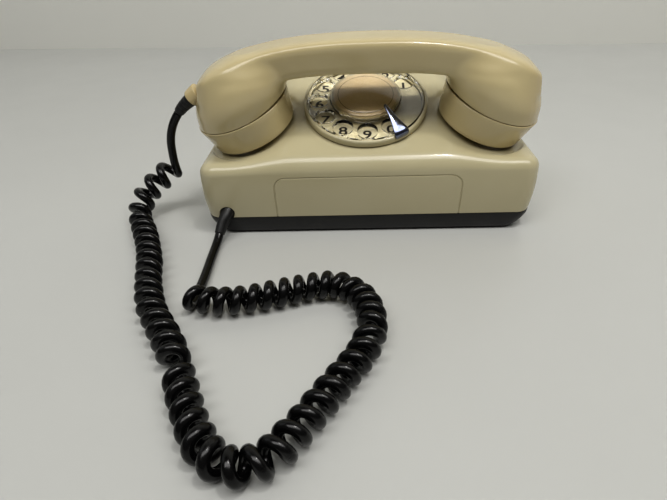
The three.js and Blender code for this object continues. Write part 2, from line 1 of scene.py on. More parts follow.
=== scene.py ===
"""The looks of a rotary telephone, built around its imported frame. Blender 4.5, metres, +Z up.

Shapes are worked out in millimetres, in the frame of the piece they belong to, and go to metres when
their mesh is made. Moulded shells are distance formulas turned into fine meshes; turned and bent pieces
are swept or spun.
"""
import json
import math

import bmesh
import bpy
import numpy as np
import openvdb
from mathutils import Matrix, Vector


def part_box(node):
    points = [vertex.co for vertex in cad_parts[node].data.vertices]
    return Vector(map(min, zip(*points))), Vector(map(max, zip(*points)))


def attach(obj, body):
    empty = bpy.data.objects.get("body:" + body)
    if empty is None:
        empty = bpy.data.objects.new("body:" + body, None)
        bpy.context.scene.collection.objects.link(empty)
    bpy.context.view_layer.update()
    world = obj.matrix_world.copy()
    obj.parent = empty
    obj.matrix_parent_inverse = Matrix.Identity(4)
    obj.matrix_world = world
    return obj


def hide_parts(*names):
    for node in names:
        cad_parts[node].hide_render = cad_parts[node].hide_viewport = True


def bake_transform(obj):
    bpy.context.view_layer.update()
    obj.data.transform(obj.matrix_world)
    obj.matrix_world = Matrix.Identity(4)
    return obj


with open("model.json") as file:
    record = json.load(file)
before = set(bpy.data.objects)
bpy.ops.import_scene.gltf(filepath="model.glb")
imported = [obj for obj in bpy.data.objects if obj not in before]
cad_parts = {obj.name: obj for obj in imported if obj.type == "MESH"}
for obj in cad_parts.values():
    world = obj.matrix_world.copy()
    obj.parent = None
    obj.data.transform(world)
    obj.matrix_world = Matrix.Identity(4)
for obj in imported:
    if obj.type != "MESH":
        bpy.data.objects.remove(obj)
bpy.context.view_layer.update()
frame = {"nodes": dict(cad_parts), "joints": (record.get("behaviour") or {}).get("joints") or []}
MM = 0.001


# ---------------------------------------------------------------- frames
def joint(name):
    return next(j for j in frame["joints"] if j["name"] == name)


def shift(x, y, z):
    return Matrix.Translation((x, y, z))


def turn(degrees, axis):
    return Matrix.Rotation(math.radians(degrees), 4, axis)


DIAL_NORMAL = Vector(joint("dial_spin")["axis"])
DIAL_TILT = math.degrees(math.atan2(-DIAL_NORMAL.y, DIAL_NORMAL.z))
DIAL_CENTRE = Vector((0, -7, 72))
DIAL = shift(*DIAL_CENTRE) @ turn(DIAL_TILT, "X")
HANDSET_LEAN = 13
HANDSET = shift(0, -20, 79) @ turn(HANDSET_LEAN, "X")
CUP_OFFSET = 80
CUP_TILT = 19.5
# Each cup's frame: origin at its parting circle, +Z into the handset. The mouth's is -1, the ear's 1.
CUPS = {
    sign: HANDSET @ shift(sign * CUP_OFFSET, 0, 0) @ turn(sign * CUP_TILT, "Y") for sign in (-1, 1)
}
TABLE = Matrix.Identity(4)

PART_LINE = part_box("base_tray")[1].z / MM
CUP_RADIUS = 31.7
CUP_FACE_RADIUS = 28.8
CUP_HEIGHT = 20


# ---------------------------------------------------------------- making pieces
def piece(name, points, faces, material, body, slot, replaces=(), place=TABLE, sharp=40):
    """A piece from points in millimetres in its own frame, smooth but for edges over a sharp angle."""
    mesh = placed_mesh(name, points, faces, place)
    return finished(name, mesh, material, body, replaces, sharp)


def placed_mesh(name, points, faces, place):
    """A mesh in metres from points in millimetres in a piece's own frame."""
    points = np.asarray(points, float).reshape(-1, 3)
    turned = np.array(place.to_3x3())
    world = (points @ turned.T + np.array(place.translation)) * MM
    mesh = bpy.data.meshes.new(name)
    mesh.from_pydata(world.tolist(), [], [list(map(int, face)) for face in faces])
    return mesh


def face_outwards(mesh, merge=False):
    work = bmesh.new()
    work.from_mesh(mesh)
    if merge:
        bmesh.ops.remove_doubles(work, verts=work.verts, dist=1e-6)
    bmesh.ops.recalc_face_normals(work, faces=work.faces)
    work.to_mesh(mesh)
    work.free()


def finished(name, mesh, material, body, replaces=(), sharp=40):
    """A piece from its mesh in metres, on its body and with its material slot."""
    mesh.validate()
    face_outwards(mesh, merge=True)
    mesh.shade_smooth()
    mesh.set_sharp_from_angle(angle=math.radians(sharp))
    mesh.materials.clear()
    mesh.materials.append(material)
    made = bpy.data.objects.new(name, mesh)
    bpy.context.scene.collection.objects.link(made)
    if body:
        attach(made, body)
    if replaces:
        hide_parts(*replaces)
    return made


def skin(rings, caps=True):
    """Faces of a loft through rings of equally many points."""
    count, sides = len(rings), len(rings[0])
    faces = []
    for k in range(count - 1):
        for i in range(sides):
            a, b = k * sides + i, k * sides + (i + 1) % sides
            faces.append((a, b, b + sides, a + sides))
    if caps:
        faces.append(tuple(reversed(range(sides))))
        faces.append(tuple((count - 1) * sides + i for i in range(sides)))
    return faces


def spun(profile, sides=96):
    """Points and faces of a profile of (radius, height) pairs spun about Z; ends on the axis close it."""
    angles = [2 * math.pi * i / sides for i in range(sides)]
    points, rows, faces = [], [], []
    for radius, height in profile:
        if radius < 1e-6:
            rows.append([len(points)])
            points.append((0, 0, height))
        else:
            rows.append(range(len(points), len(points) + sides))
            points += [(radius * math.cos(a), radius * math.sin(a), height) for a in angles]
    closing = [] if len(rows[0]) == 1 else [(rows[-1], rows[0])]
    for low, high in list(zip(rows, rows[1:])) + closing:
        for i in range(sides):
            j = (i + 1) % sides
            corner = [low[i % len(low)], low[j % len(low)], high[j % len(high)], high[i % len(high)]]
            face = list(dict.fromkeys(corner))
            if len(face) > 2:
                faces.append(face)
    return points, faces


def arc(centre, radius, start, end, steps=6):
    """(radius, height) pairs on a circle in a profile, from a start angle to an end angle in degrees."""
    spread = np.radians(np.linspace(start, end, steps))
    return [(centre[0] + radius * math.cos(a), centre[1] + radius * math.sin(a)) for a in spread]


def curve_through(knots, values, at):
    """A smooth curve through values given at rising knots."""
    knots, values, at = (np.asarray(v, float) for v in (knots, values, at))
    slopes = np.gradient(values, knots, axis=0)
    i = np.clip(np.searchsorted(knots, at, side="right") - 1, 0, len(knots) - 2)
    width = knots[i + 1] - knots[i]
    t = (at - knots[i]) / width
    if values.ndim > 1:
        width, t = width[:, None], t[:, None]
    start, end = values[i], values[i + 1]
    rise = (slopes[i] * (1 - t) + slopes[i + 1] * -t) * width
    lift = (end - start) * (2 * t - 1)
    return start + (end - start) * t + t * (1 - t) * (rise + lift)


def distance_along(points):
    """How far along a line each of its points is."""
    return np.concatenate([[0], np.cumsum(np.linalg.norm(np.diff(points, axis=0), axis=1))])


def angles_round(sides, start=0):
    return (np.arange(sides) + start) / sides * 2 * math.pi


def squared(wave, power):
    """A sine or cosine whose power below 1 turns an ellipse towards a rectangle."""
    return np.sign(wave) * np.abs(wave) ** power


def cut(target, points, faces, place):
    """Cuts a closed shape in millimetres out of a piece."""
    mesh = placed_mesh("cutter", points, faces, place)
    face_outwards(mesh)
    tool = bpy.data.objects.new("cutter", mesh)
    bpy.context.scene.collection.objects.link(tool)
    modifier = target.modifiers.new("cut", "BOOLEAN")
    modifier.operation = "DIFFERENCE"
    modifier.solver = "MANIFOLD"
    modifier.object = tool
    apply_modifiers(target)
    bpy.data.objects.remove(tool)


def mesh_of(curve):
    """The mesh of a curve or of a text, in the curve's own units."""
    holder = bpy.data.objects.new(curve.name, curve)
    bpy.context.scene.collection.objects.link(holder)
    bpy.context.view_layer.update()
    mesh = bpy.data.meshes.new_from_object(holder.evaluated_get(bpy.context.evaluated_depsgraph_get()))
    bpy.data.objects.remove(holder)
    return mesh


def apply_modifiers(target):
    graph = bpy.context.evaluated_depsgraph_get()
    target.data = bpy.data.meshes.new_from_object(target.evaluated_get(graph))
    target.modifiers.clear()
    target.data.shade_smooth()
    target.data.set_sharp_from_angle(angle=math.radians(40))


# ---------------------------------------------------------------- moulded shapes from distances
# A distance is negative inside a shape. Both rules below keep a fillet of the given radius.
def both(a, b, radius):
    corner = np.hypot(np.maximum(radius + a, 0), np.maximum(radius + b, 0))
    return np.minimum(-radius, np.maximum(a, b)) + corner


def either(a, b, radius):
    return -both(-a, -b, radius)


def in_frame(place, x, y, z):
    """Coordinates of points in a piece's own frame."""
    back = np.array(place.inverted())
    return [row[0] * x + row[1] * y + row[2] * z + row[3] for row in back[:3]]


def rounded_plan(x, y, half_x, half_y, corner):
    away_x = np.abs(x) - half_x + corner
    away_y = np.abs(y) - half_y + corner
    outside = np.hypot(np.maximum(away_x, 0), np.maximum(away_y, 0))
    return outside + np.minimum(np.maximum(away_x, away_y), 0) - corner


def samples(low, high, step):
    axes = [np.arange(a, b + step, step, dtype=np.float32) for a, b in zip(low, high)]
    return np.meshgrid(*axes, indexing="ij")


def surface_of(values, low, step):
    """Points and quads where a sampled distance is zero."""
    reach = 3 * step
    grid = openvdb.FloatGrid(reach)
    grid.copyFromArray(np.clip(values, -reach, reach).astype(np.float32))
    points, _, quads = grid.convertToPolygons(0.0, 0.0)
    return points.astype(float) * step + np.array(low), quads


def moulded(distance, low, high, step):
    """A fine mesh of a shape, its points settled on the exact surface."""
    points, quads = surface_of(distance(*samples(low, high, step)), low, step)
    nudge = 0.05
    for _ in range(3):
        x, y, z = points.T
        here = distance(x, y, z)
        slope = np.stack(
            [
                distance(x + nudge, y, z) - here,
                distance(x, y + nudge, z) - here,
                distance(x, y, z + nudge) - here,
            ],
            axis=1,
        ) / nudge
        size = np.maximum((slope**2).sum(1), 0.2)
        move = np.clip(here / size, -step / 2, step / 2)
        points = points - move[:, None] * slope
    return points, quads


def level_set(points, faces, low, high, step, reach):
    """A closed mesh as a sampled distance."""
    corners = [face for face in faces if len(face) == 4]
    triangles = [face for face in faces if len(face) == 3]
    grid = openvdb.FloatGrid.createLevelSetFromPolygons(
        ((np.asarray(points) - np.array(low)) / step).astype(np.float32),
        triangles=np.array(triangles or np.zeros((0, 3)), np.uint32),
        quads=np.array(corners or np.zeros((0, 4)), np.uint32),
        transform=openvdb.createLinearTransform(1.0),
        halfWidth=reach / step,
    )
    shape = [int(math.floor((b - a) / step)) + 1 for a, b in zip(low, high)]
    values = np.zeros(shape, np.float32)
    grid.copyToArray(values)
    return values * step


# ---------------------------------------------------------------- materials
def colour(red, green, blue):
    """A colour given as it looks on screen, 0 to 255, in the linear values that shaders take."""
    def linear(value):
        value /= 255
        return value / 12.92 if value <= 0.04045 else ((value + 0.055) / 1.055) ** 2.4

    return (linear(red), linear(green), linear(blue), 1)


class Shader:
    """A node material: a principled shader, with short calls for the textures that drive it."""

    def __init__(self, name, **settings):
        self.material = bpy.data.materials.new(name)
        self.material.use_nodes = True
        self.tree = self.material.node_tree
        self.shader = self.tree.nodes["Principled BSDF"]
        for socket, value in settings.items():
            self.shader.inputs[socket.replace("_", " ")].default_value = value
        self.place = self.node("ShaderNodeTexCoord").outputs["Object"]

    def node(self, kind, inputs=None, **settings):
        made = self.tree.nodes.new(kind)
        for key, value in settings.items():
            setattr(made, key, value)
        for key, value in (inputs or {}).items():
            if isinstance(value, bpy.types.NodeSocket):
                self.tree.links.new(value, made.inputs[key])
            else:
                made.inputs[key].default_value = value
        return made

    def set(self, socket, output):
        self.tree.links.new(output, self.shader.inputs[socket])

    def noise(self, scale, detail=4.0, roughness=0.55, stretch=None):
        place = self.place
        if stretch:
            place = self.node("ShaderNodeMapping", {"Vector": place, "Scale": stretch}).outputs["Vector"]
        inputs = {"Vector": place, "Scale": scale, "Detail": detail, "Roughness": roughness}
        return self.node("ShaderNodeTexNoise", inputs).outputs["Fac"]

    def ranged(self, value, low, high, to_low, to_high, smooth=False):
        inputs = {
            "Value": value, "From Min": low, "From Max": high, "To Min": to_low, "To Max": to_high,
        }
        kind = "SMOOTHSTEP" if smooth else "LINEAR"
        return self.node("ShaderNodeMapRange", inputs, interpolation_type=kind).outputs["Result"]

    def mixed(self, share, first, second):
        # A mix node has one socket of each name per data type: 6, 7 and output 2 are its colours.
        return self.node("ShaderNodeMix", {0: share, 6: first, 7: second}, data_type="RGBA").outputs[2]

    def maths(self, operation, first, second):
        return self.node("ShaderNodeMath", {0: first, 1: second}, operation=operation).outputs[0]

    def axis(self, letter):
        return self.node("ShaderNodeSeparateXYZ", {"Vector": self.place}).outputs[letter]

    def bump(self, height, strength, distance):
        inputs = {"Height": height, "Strength": strength, "Distance": distance}
        self.set("Normal", self.node("ShaderNodeBump", inputs).outputs["Normal"])

    def let_lamps_through(self, tint):
        """Clear plastic throws no dark shadow on what is under it."""
        ray = self.node("ShaderNodeLightPath").outputs["Is Shadow Ray"]
        open_air = self.node("ShaderNodeBsdfTransparent", {"Color": tint}).outputs[0]
        choice = self.node("ShaderNodeMixShader", {0: ray, 1: self.shader.outputs[0], 2: open_air})
        self.tree.links.new(choice.outputs[0], self.tree.nodes["Material Output"].inputs["Surface"])

    def corners(self, distance):
        """Ambient occlusion: 1 on open surface, towards 0 in hollows, where shade falls."""
        inputs = {"Distance": distance}
        return self.node("ShaderNodeAmbientOcclusion", inputs, samples=8).outputs["AO"]


def moulded_plastic(name, light, deep, grime_and_shade, rough, coat=0.0, ambered=None):
    """Satin moulded plastic with uneven ageing, faint orange peel, hairline wear, dark specks and painted
    shade in hollows.
    """
    made = Shader(name, Roughness=rough, Coat_Weight=coat, Coat_Roughness=0.07)
    clouds = made.noise(14, 3)
    base = made.mixed(made.ranged(clouds, 0.3, 0.72, 0, 1, smooth=True), light, deep)
    specks = made.ranged(made.noise(1300, 2), 0.72, 0.8, 0, 0.1)
    base = made.mixed(specks, base, grime_and_shade)
    if ambered:
        base = ambered(made, base)
    # Painted shade: hollows found by ambient occlusion are darkened in patches towards the dark colour.
    crevice_shade = made.ranged(made.corners(0.004), 0.3, 0.75, 0.6, 0, smooth=True)
    patchy_shade = made.maths("MULTIPLY", crevice_shade, made.ranged(made.noise(60, 3), 0.3, 0.65, 0.4, 1, smooth=True))
    made.set("Base Color", made.mixed(patchy_shade, base, grime_and_shade))
    smears = made.noise(35, 3, 0.5)
    scuffs = made.ranged(made.noise(700, 6, 0.7, stretch=(0.25, 1.0, 1.0)), 0.62, 0.85, 0, 0.04, smooth=True)
    uneven = made.ranged(smears, 0.1, 0.9, rough - 0.03, rough + 0.015)
    made.set("Roughness", made.maths("ADD", uneven, scuffs))
    made.bump(made.noise(650, 3, 0.5), 0.02, 0.0004)
    return made.material


def amber_ends(made, base):
    """The handset's outer ends have browned a little more than its middle, the receiver's end the most."""
    right = made.ranged(made.axis("X"), 0.082, 0.116, 0, 0.34, smooth=True)
    left = made.ranged(made.axis("X"), -0.088, -0.118, 0, 0.2, smooth=True)
    uneven = made.ranged(made.noise(24, 2), 0.3, 0.62, 0.55, 1, smooth=True)
    patch = made.maths("MULTIPLY", made.maths("ADD", right, left), uneven)
    return made.mixed(patch, base, colour(186, 148, 84))


def black_moulded():
    made = Shader("black_plastic", Roughness=0.42)
    dust = made.ranged(made.noise(260, 5, 0.7), 0.55, 0.8, 0, 0.16)
    base = made.mixed(made.noise(30, 3), colour(12, 12, 13), colour(20, 19, 19))
    made.set("Base Color", made.mixed(dust, base, colour(66, 63, 58)))
    made.set("Roughness", made.ranged(made.noise(90, 5), 0.3, 0.7, 0.3, 0.52))
    made.bump(made.noise(1100, 3), 0.16, 0.0003)
    return made.material


def cord_cover():
    made = Shader("cord_black", Roughness=0.24, Specular_IOR_Level=0.4)
    base = made.mixed(made.noise(70, 3), colour(6, 6, 7), colour(14, 14, 14))
    dust = made.ranged(made.noise(520, 5, 0.7), 0.6, 0.82, 0, 0.1)
    made.set("Base Color", made.mixed(dust, base, colour(70, 68, 65)))
    made.set("Roughness", made.ranged(made.noise(160, 5), 0.3, 0.72, 0.15, 0.3))
    made.bump(made.noise(420, 4), 0.12, 0.0003)
    return made.material


def ivory_plate():
    made = Shader("ivory_plastic", Roughness=0.33)
    patches = made.ranged(made.noise(60, 4), 0.3, 0.7, 0, 1)
    base = made.mixed(patches, colour(236, 228, 196), colour(226, 216, 180))
    stain = made.ranged(made.noise(210, 5, 0.65), 0.55, 0.78, 0, 0.22)
    base = made.mixed(stain, base, colour(150, 134, 88))
    # Painted shade: hollows found by ambient occlusion are darkened towards a dark brown.
    crevice_shade = made.ranged(made.corners(0.004), 0.3, 0.8, 0.6, 0, smooth=True)
    made.set("Base Color", made.mixed(crevice_shade, base, colour(92, 78, 44)))
    made.set("Roughness", made.ranged(made.noise(180, 4), 0.3, 0.7, 0.29, 0.42))
    made.bump(made.noise(900, 3), 0.06, 0.0003)
    return made.material


def clear_plastic(name, tint, rough):
    """Clear moulded plastic, finely scratched and a little yellowed."""
    made = Shader(name, Base_Color=tint, Transmission_Weight=1.0, IOR=1.49, Roughness=rough)
    made.let_lamps_through(tint)
    scratches = made.ranged(made.noise(700, 6, 0.75, stretch=(0.2, 1.0, 1.0)), 0.6, 0.78, 0, 0.1)
    smears = made.ranged(made.noise(90, 4), 0.35, 0.75, rough, rough + 0.05)
    made.set("Roughness", made.maths("ADD", smears, scratches))
    made.bump(made.noise(160, 3), 0.05, 0.0004)
    return made.material


def paper():
    made = Shader("paper_card", Roughness=0.7)
    fibres = made.noise(1400, 5, 0.7, stretch=(0.35, 1.0, 1.0))
    base = made.mixed(made.ranged(fibres, 0.35, 0.7, 0, 1), colour(206, 192, 166), colour(190, 175, 144))
    foxing = made.ranged(made.noise(70, 3), 0.5, 0.8, 0, 0.4)
    made.set("Base Color", made.mixed(foxing, base, colour(190, 168, 120)))
    made.bump(fibres, 0.12, 0.0002)
    return made.material


def metal(name, light, dark, rough, scale=300, brushed=None):
    made = Shader(name, Metallic=1.0)
    grain = made.noise(scale, 5, 0.6, stretch=brushed)
    made.set("Base Color", made.mixed(made.ranged(grain, 0.3, 0.75, 0, 1), light, dark))
    made.set("Roughness", made.ranged(made.noise(130, 5, 0.65), 0.3, 0.75, rough, rough + 0.16))
    made.bump(grain, 0.08, 0.0002)
    return made.material


def winding():
    made = Shader("copper_winding", Metallic=0.85, Roughness=0.4)
    waves = made.node("ShaderNodeTexWave", {"Vector": made.place, "Scale": 950.0, "Distortion": 0.6})
    made.set("Base Color", made.mixed(waves.outputs["Fac"], colour(96, 48, 22), colour(196, 112, 58)))
    made.bump(waves.outputs["Fac"], 0.5, 0.0004)
    return made.material


def rubber():
    made = Shader("rubber", Roughness=0.75)
    made.set("Base Color", made.mixed(made.noise(200, 4), colour(26, 25, 24), colour(48, 46, 43)))
    made.bump(made.noise(1500, 3), 0.25, 0.0004)
    return made.material


def board():
    made = Shader("board", Roughness=0.5)
    weave = made.node("ShaderNodeTexChecker", {"Vector": made.place, "Scale": 900.0}).outputs["Fac"]
    base = made.mixed(weave, colour(132, 92, 48), colour(146, 104, 58))
    made.set("Base Color", made.mixed(made.noise(60, 4), base, colour(112, 74, 36)))
    made.bump(weave, 0.1, 0.0002)
    return made.material


def print_ink():
    made = Shader("dial_ink", Roughness=0.5)
    made.set("Base Color", made.mixed(made.noise(500, 4), colour(22, 20, 18), colour(52, 46, 38)))
    return made.material


BEIGE = moulded_plastic(
    "beige_plastic", colour(196, 188, 156), colour(191, 182, 149), colour(118, 104, 70), 0.25, coat=0.3)
AGED = moulded_plastic(
    "aged_beige_plastic", colour(203, 189, 148), colour(197, 181, 138), colour(118, 98, 60), 0.22,
    coat=0.3, ambered=amber_ends)
BLACK = black_moulded()
CORD = cord_cover()
IVORY = ivory_plate()
CLEAR = clear_plastic("clear_acrylic", colour(255, 255, 253), 0.02)
AMBER = clear_plastic("amber_clear", colour(250, 245, 234), 0.01)
CARD = paper()
CHROME = metal("chrome", colour(132, 138, 160), colour(104, 110, 132), 0.06, 500)
INK = print_ink()
FINISHES = {
    "beige_plastic": BEIGE, "aged_beige_plastic": AGED, "black_plastic": BLACK, "cord_black": CORD,
    "ivory_plastic": IVORY, "clear_acrylic": CLEAR, "amber_clear": AMBER, "paper_card": CARD,
    "chrome": CHROME,
    "steel": metal("steel", colour(190, 192, 194), colour(150, 152, 156), 0.28, brushed=(0.1, 1, 1)),
    "brass": metal("brass", colour(214, 176, 96), colour(178, 138, 66), 0.24, brushed=(0.1, 1, 1)),
    "copper_winding": winding(), "rubber": rubber(), "board": board(),
}
for node in frame["nodes"].values():
    for slot in node.material_slots:
        slot.material = FINISHES[slot.material.name.split(".")[0]]


# ---------------------------------------------------------------- camera
# Where the picture was taken from, found from the dial's ellipse, the ridge, the part line and the table.
CAMERA_PLACE = Vector((-9.254, -341.82, 173.56)) * MM
LOOK_DOWN, LOOK_ASIDE, ROLL = 32.879, -2.7525, -2.425  # degrees
LENS = 27.16


def make_camera():
    data = bpy.data.cameras.new("camera")
    data.lens = LENS
    data.sensor_width = 36
    data.clip_start = 0.01
    made = bpy.data.objects.new("camera", data)
    bpy.context.scene.collection.objects.link(made)
    aim = turn(-LOOK_ASIDE, "Z") @ turn(90 - LOOK_DOWN, "X") @ turn(ROLL, "Z")
    made.matrix_world = Matrix.Translation(CAMERA_PLACE) @ aim
    bpy.context.scene.camera = made


# ---------------------------------------------------------------- cord
# All in metres. The route repeats the CAD's: down from the handset, round the coil, and back to the base.
CORD_DIAMETER = 0.0055
COIL_MEAN_RADIUS = 0.0059
OPEN_TURNS_WIDER = 0.0013
OPEN_TURNS = 4
LEAD_SPACING = 0.0012
LINE_SPACING = 0.0016
HANDSET_LEAD = [
    (-0.1207, -0.0235, 0.0753), (-0.1248, -0.023, 0.07), (-0.1284, -0.0226, 0.063),
    (-0.1306, -0.0224, 0.055), (-0.131, -0.0226, 0.047), (-0.131, -0.023, 0.0408),
]
COIL_ROUTE = [
    (-0.134, -0.0165, 0.035), (-0.1405, -0.0195, 0.0303), (-0.147, -0.0228, 0.0256),
    (-0.1525, -0.0265, 0.0206), (-0.1558, -0.0315, 0.0158), (-0.1562, -0.0385, 0.0118),
    (-0.1535, -0.047, 0.0095), (-0.148, -0.0575, 0.0088),
    (-0.1405, -0.073, 0.0087), (-0.132, -0.094, 0.0087), (-0.1245, -0.118, 0.0087),
    (-0.116, -0.139, 0.0087), (-0.106, -0.155, 0.0087), (-0.0975, -0.168, 0.0087),
    (-0.089, -0.184, 0.0087), (-0.081, -0.201, 0.0087), (-0.073, -0.216, 0.0087),
    (-0.064, -0.2275, 0.0087), (-0.054, -0.232, 0.0087), (-0.043, -0.2285, 0.0087),
    (-0.0335, -0.217, 0.0087), (-0.024, -0.2025, 0.0087), (-0.0145, -0.1875, 0.0087),
    (-0.006, -0.1735, 0.0087), (-0.0012, -0.1575, 0.0087), (-0.002, -0.142, 0.0087),
    (-0.008, -0.129, 0.0087), (-0.019, -0.122, 0.0087), (-0.032, -0.123, 0.0087),
    (-0.046, -0.1275, 0.0087), (-0.06, -0.1318, 0.0087), (-0.076, -0.135, 0.0087),
    (-0.09, -0.1336, 0.0087), (-0.0975, -0.1306, 0.0087),
]
BASE_LEAD = [
    (-0.0972, -0.1214, 0.00285), (-0.0968, -0.112, 0.00285), (-0.097, -0.098, 0.00285),
    (-0.0975, -0.084, 0.00285), (-0.0976, -0.074, 0.0031), (-0.0973, -0.069, 0.004),
    (-0.0968, -0.0653, 0.0056), (-0.0964, -0.06365, 0.00695),
]


def evenly(points, spacing):
    """Points a given distance apart along a smooth curve through listed points."""
    points = np.array(points, float)
    knots = distance_along(points)
    fine = curve_through(knots, points, np.linspace(0, knots[-1], 4000))
    along = distance_along(fine)
    steps = max(2, round(along[-1] / spacing))
    wanted = np.linspace(0, along[-1], steps + 1)
    return sampled(fine, along, wanted), wanted


def sampled(line, along, wanted):
    """Points of a line at wanted distances along it."""
    return np.stack([np.interp(wanted, along, line[:, k]) for k in range(3)], axis=1)


def carried_frames(line):
    """Two directions across a line at each of its points, carried along it without twist."""
    ahead = np.gradient(line, axis=0)
    ahead /= np.linalg.norm(ahead, axis=1)[:, None]
    side = np.cross(ahead[0], (0, 0, 1))
    if np.linalg.norm(side) < 0.1:
        side = np.cross(ahead[0], (0, 1, 0))
    sides = []
    for direction in ahead:
        side = side - direction * (side @ direction)
        side = side / np.linalg.norm(side)
        sides.append(side)
    sides = np.array(sides)
    return sides, np.cross(ahead, sides)


# Turns of wire per metre of route, at shares of the route's length. Between the two reversals the coil
# winds the other way round, as an old cord does where it has turned inside out.
COIL_PITCH = [
    (0, 90), (0.06, 92), (0.12, 98), (0.36, 100), (0.42, 110), (0.5, 110), (0.72, 112), (0.76, 132),
    (0.84, 134), (0.9, 124), (1, 124),
]
REVERSALS = (0.415, 0.74)


def helix(route):
    """The wire's centreline round the coil's route, and how many turns it makes."""
    line, along = evenly(route, 0.0002)
    across, over = carried_frames(line)
    share = along / along[-1]
    pitch = np.interp(share, *zip(*COIL_PITCH))
    turns = np.concatenate([[0], np.cumsum((pitch[1:] + pitch[:-1]) / 2 * np.diff(along))])
    per_turn = 22
    wanted = np.linspace(0, turns[-1], round(turns[-1] * per_turn))
    where = np.interp(wanted, turns, along)
    centre, across, over = (sampled(v, along, where) for v in (line, across, over))
    unevenness = 0.02 * (1 + np.sin(wanted * 1.7)) + 0.015 * (1 + np.sin(wanted * 0.61 + 1))
    radius = COIL_MEAN_RADIUS * (1 - unevenness)
    opened = np.clip(1 - wanted / OPEN_TURNS, 0, 1) ** 0.5
    radius = radius + OPEN_TURNS_WIDER * opened * np.clip(wanted / 0.5, 0, 1)
    first, second = (np.tanh((wanted - np.interp(at, share, turns)) / 0.3) for at in REVERSALS)
    phase = math.pi - 2 * math.pi * np.cumsum(first * second) * (wanted[1] - wanted[0])
    # The last turn is brought to its underside, where the lead to the base goes on.
    lowest = math.atan2(-over[-1][2], -across[-1][2])
    short = (lowest - phase[-1] + math.pi) % (2 * math.pi) - math.pi
    phase = phase + short * wanted / turns[-1]
    swing = np.cos(phase)[:, None] * across + np.sin(phase)[:, None] * over
    return centre + swing * radius[:, None], turns[-1]


def smoothed(line, rounds):
    for _ in range(rounds):
        line[1:-1] = line[1:-1] * 0.5 + (line[:-2] + line[2:]) * 0.25
    return line


def tube(line, radius, sides):
    """Rings round a line, with one radius or one for each of its points."""
    across, over = carried_frames(line)
    radii = np.broadcast_to(radius, len(line))
    return np.array([
        [centre + r * (math.cos(a) * u + math.sin(a) * v) for a in angles_round(sides)]
        for centre, u, v, r in zip(line, across, over, radii)
    ])


def solid_tube(line, radius, sides):
    rings = tube(line, radius, sides)
    return rings.reshape(-1, 3), skin(rings)


def make_cord(pieces_on_it):
    """The wire from the base to the handset, routed through the two strain reliefs, which are handed in but
    not used.
    """
    coil, turns = helix(COIL_ROUTE)
    top, _ = evenly(HANDSET_LEAD, LEAD_SPACING)
    tail, _ = evenly(BASE_LEAD, LEAD_SPACING)
    line = np.concatenate([tail[::-1], coil[::-1], top[::-1]])
    along = distance_along(line)
    line = smoothed(sampled(line, along, np.arange(0, along[-1], LINE_SPACING)), 6)
    line[:, 2] = np.maximum(line[:, 2], CORD_DIAMETER / 2 + 0.0001)
    rings = tube(line, CORD_DIAMETER / 2, 14)
    cord = piece("curly_cord", rings.reshape(-1, 3) / MM, skin(rings), CORD, None, "cord_black",
                 ["handset_cord_coil", "handset_cord_lead", "base_cord_lead"], sharp=60)
    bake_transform(cord)


# ---------------------------------------------------------------- housing
WALL = 3
CORNER = 10
FOOT_HALF_WIDTH, FOOT_HALF_DEPTH = 105.6, 52.4
HALF_DEPTH = 55  # where the walls bulge most
RIDGE_HEIGHT = 50
RIDGE_ROUNDING = 6.5
REAR_SLOPE = 1.9
RAMP_SIDES = (46, 90)  # the ramp fades into the level ridge between these distances from the middle
WELL_RADIUS = 32.6
WELL_FLOOR = -CUP_HEIGHT - 0.4
DIAL_MOUTH_RADIUS = 37
PLUNGER_HOLE_RADIUS = 4.7


def hump(middle, half, value):
    """1 at the middle, falling off as a parabola to 0 at half away."""
    return 1 - ((value - middle) / half) ** 2


def half_depth(z):
    return FOOT_HALF_DEPTH + 2.6 * hump(47, 34, z)


def top_height(x, y):
    """Height of the top: a ramp under the dial, a fall behind it and a level ridge at both sides."""
    ramp = DIAL_CENTRE.z + (y - DIAL_CENTRE.y) * math.tan(math.radians(DIAL_TILT))
    rear = RIDGE_HEIGHT + (HALF_DEPTH - y) * REAR_SLOPE
    blend = 10
    overlap = np.maximum(blend - np.abs(ramp - rear), 0) / blend
    centre = np.minimum(ramp, rear) - overlap**2 * blend / 4
    inner, outer = RAMP_SIDES
    share = np.clip((np.abs(x) - inner) / (outer - inner), 0, 1)
    return centre + (RIDGE_HEIGHT - centre) * share**2 * (3 - 2 * share)


def well(sign, x, y, z):
    """The room that a cup rests in, open along the cup and straight up."""
    u, v, w = in_frame(CUPS[sign], x, y, z)
    along_cup = both(np.hypot(u, v) - WELL_RADIUS, WELL_FLOOR - w, 1.5)
    axis = CUPS[sign].to_3x3() @ Vector((0, 0, 1))
    drop = (w - WELL_FLOOR) / axis.z
    u, v, _ = in_frame(CUPS[sign], x, y, z - drop)
    above_floor = both((np.hypot(u, v) - WELL_RADIUS) * axis.z, WELL_FLOOR - w, 1.5)
    return either(along_cup, above_floor, 0.6)


def housing_block(x, y, z):
    half_x = FOOT_HALF_WIDTH + 1.8 * hump(33, 21, z)
    walls = rounded_plan(x, y, half_x, half_depth(z), CORNER)
    nudge = 0.5
    height = top_height(x, y)
    slope_x = (top_height(x + nudge, y) - height) / nudge
    slope_y = (top_height(x, y + nudge) - height) / nudge
    top = (z - height) / np.sqrt(1 + slope_x**2 + slope_y**2)
    block = both(walls, top, RIDGE_ROUNDING)
    for sign in CUPS:
        block = both(block, -well(sign, x, y, z), 1.6)
    return block


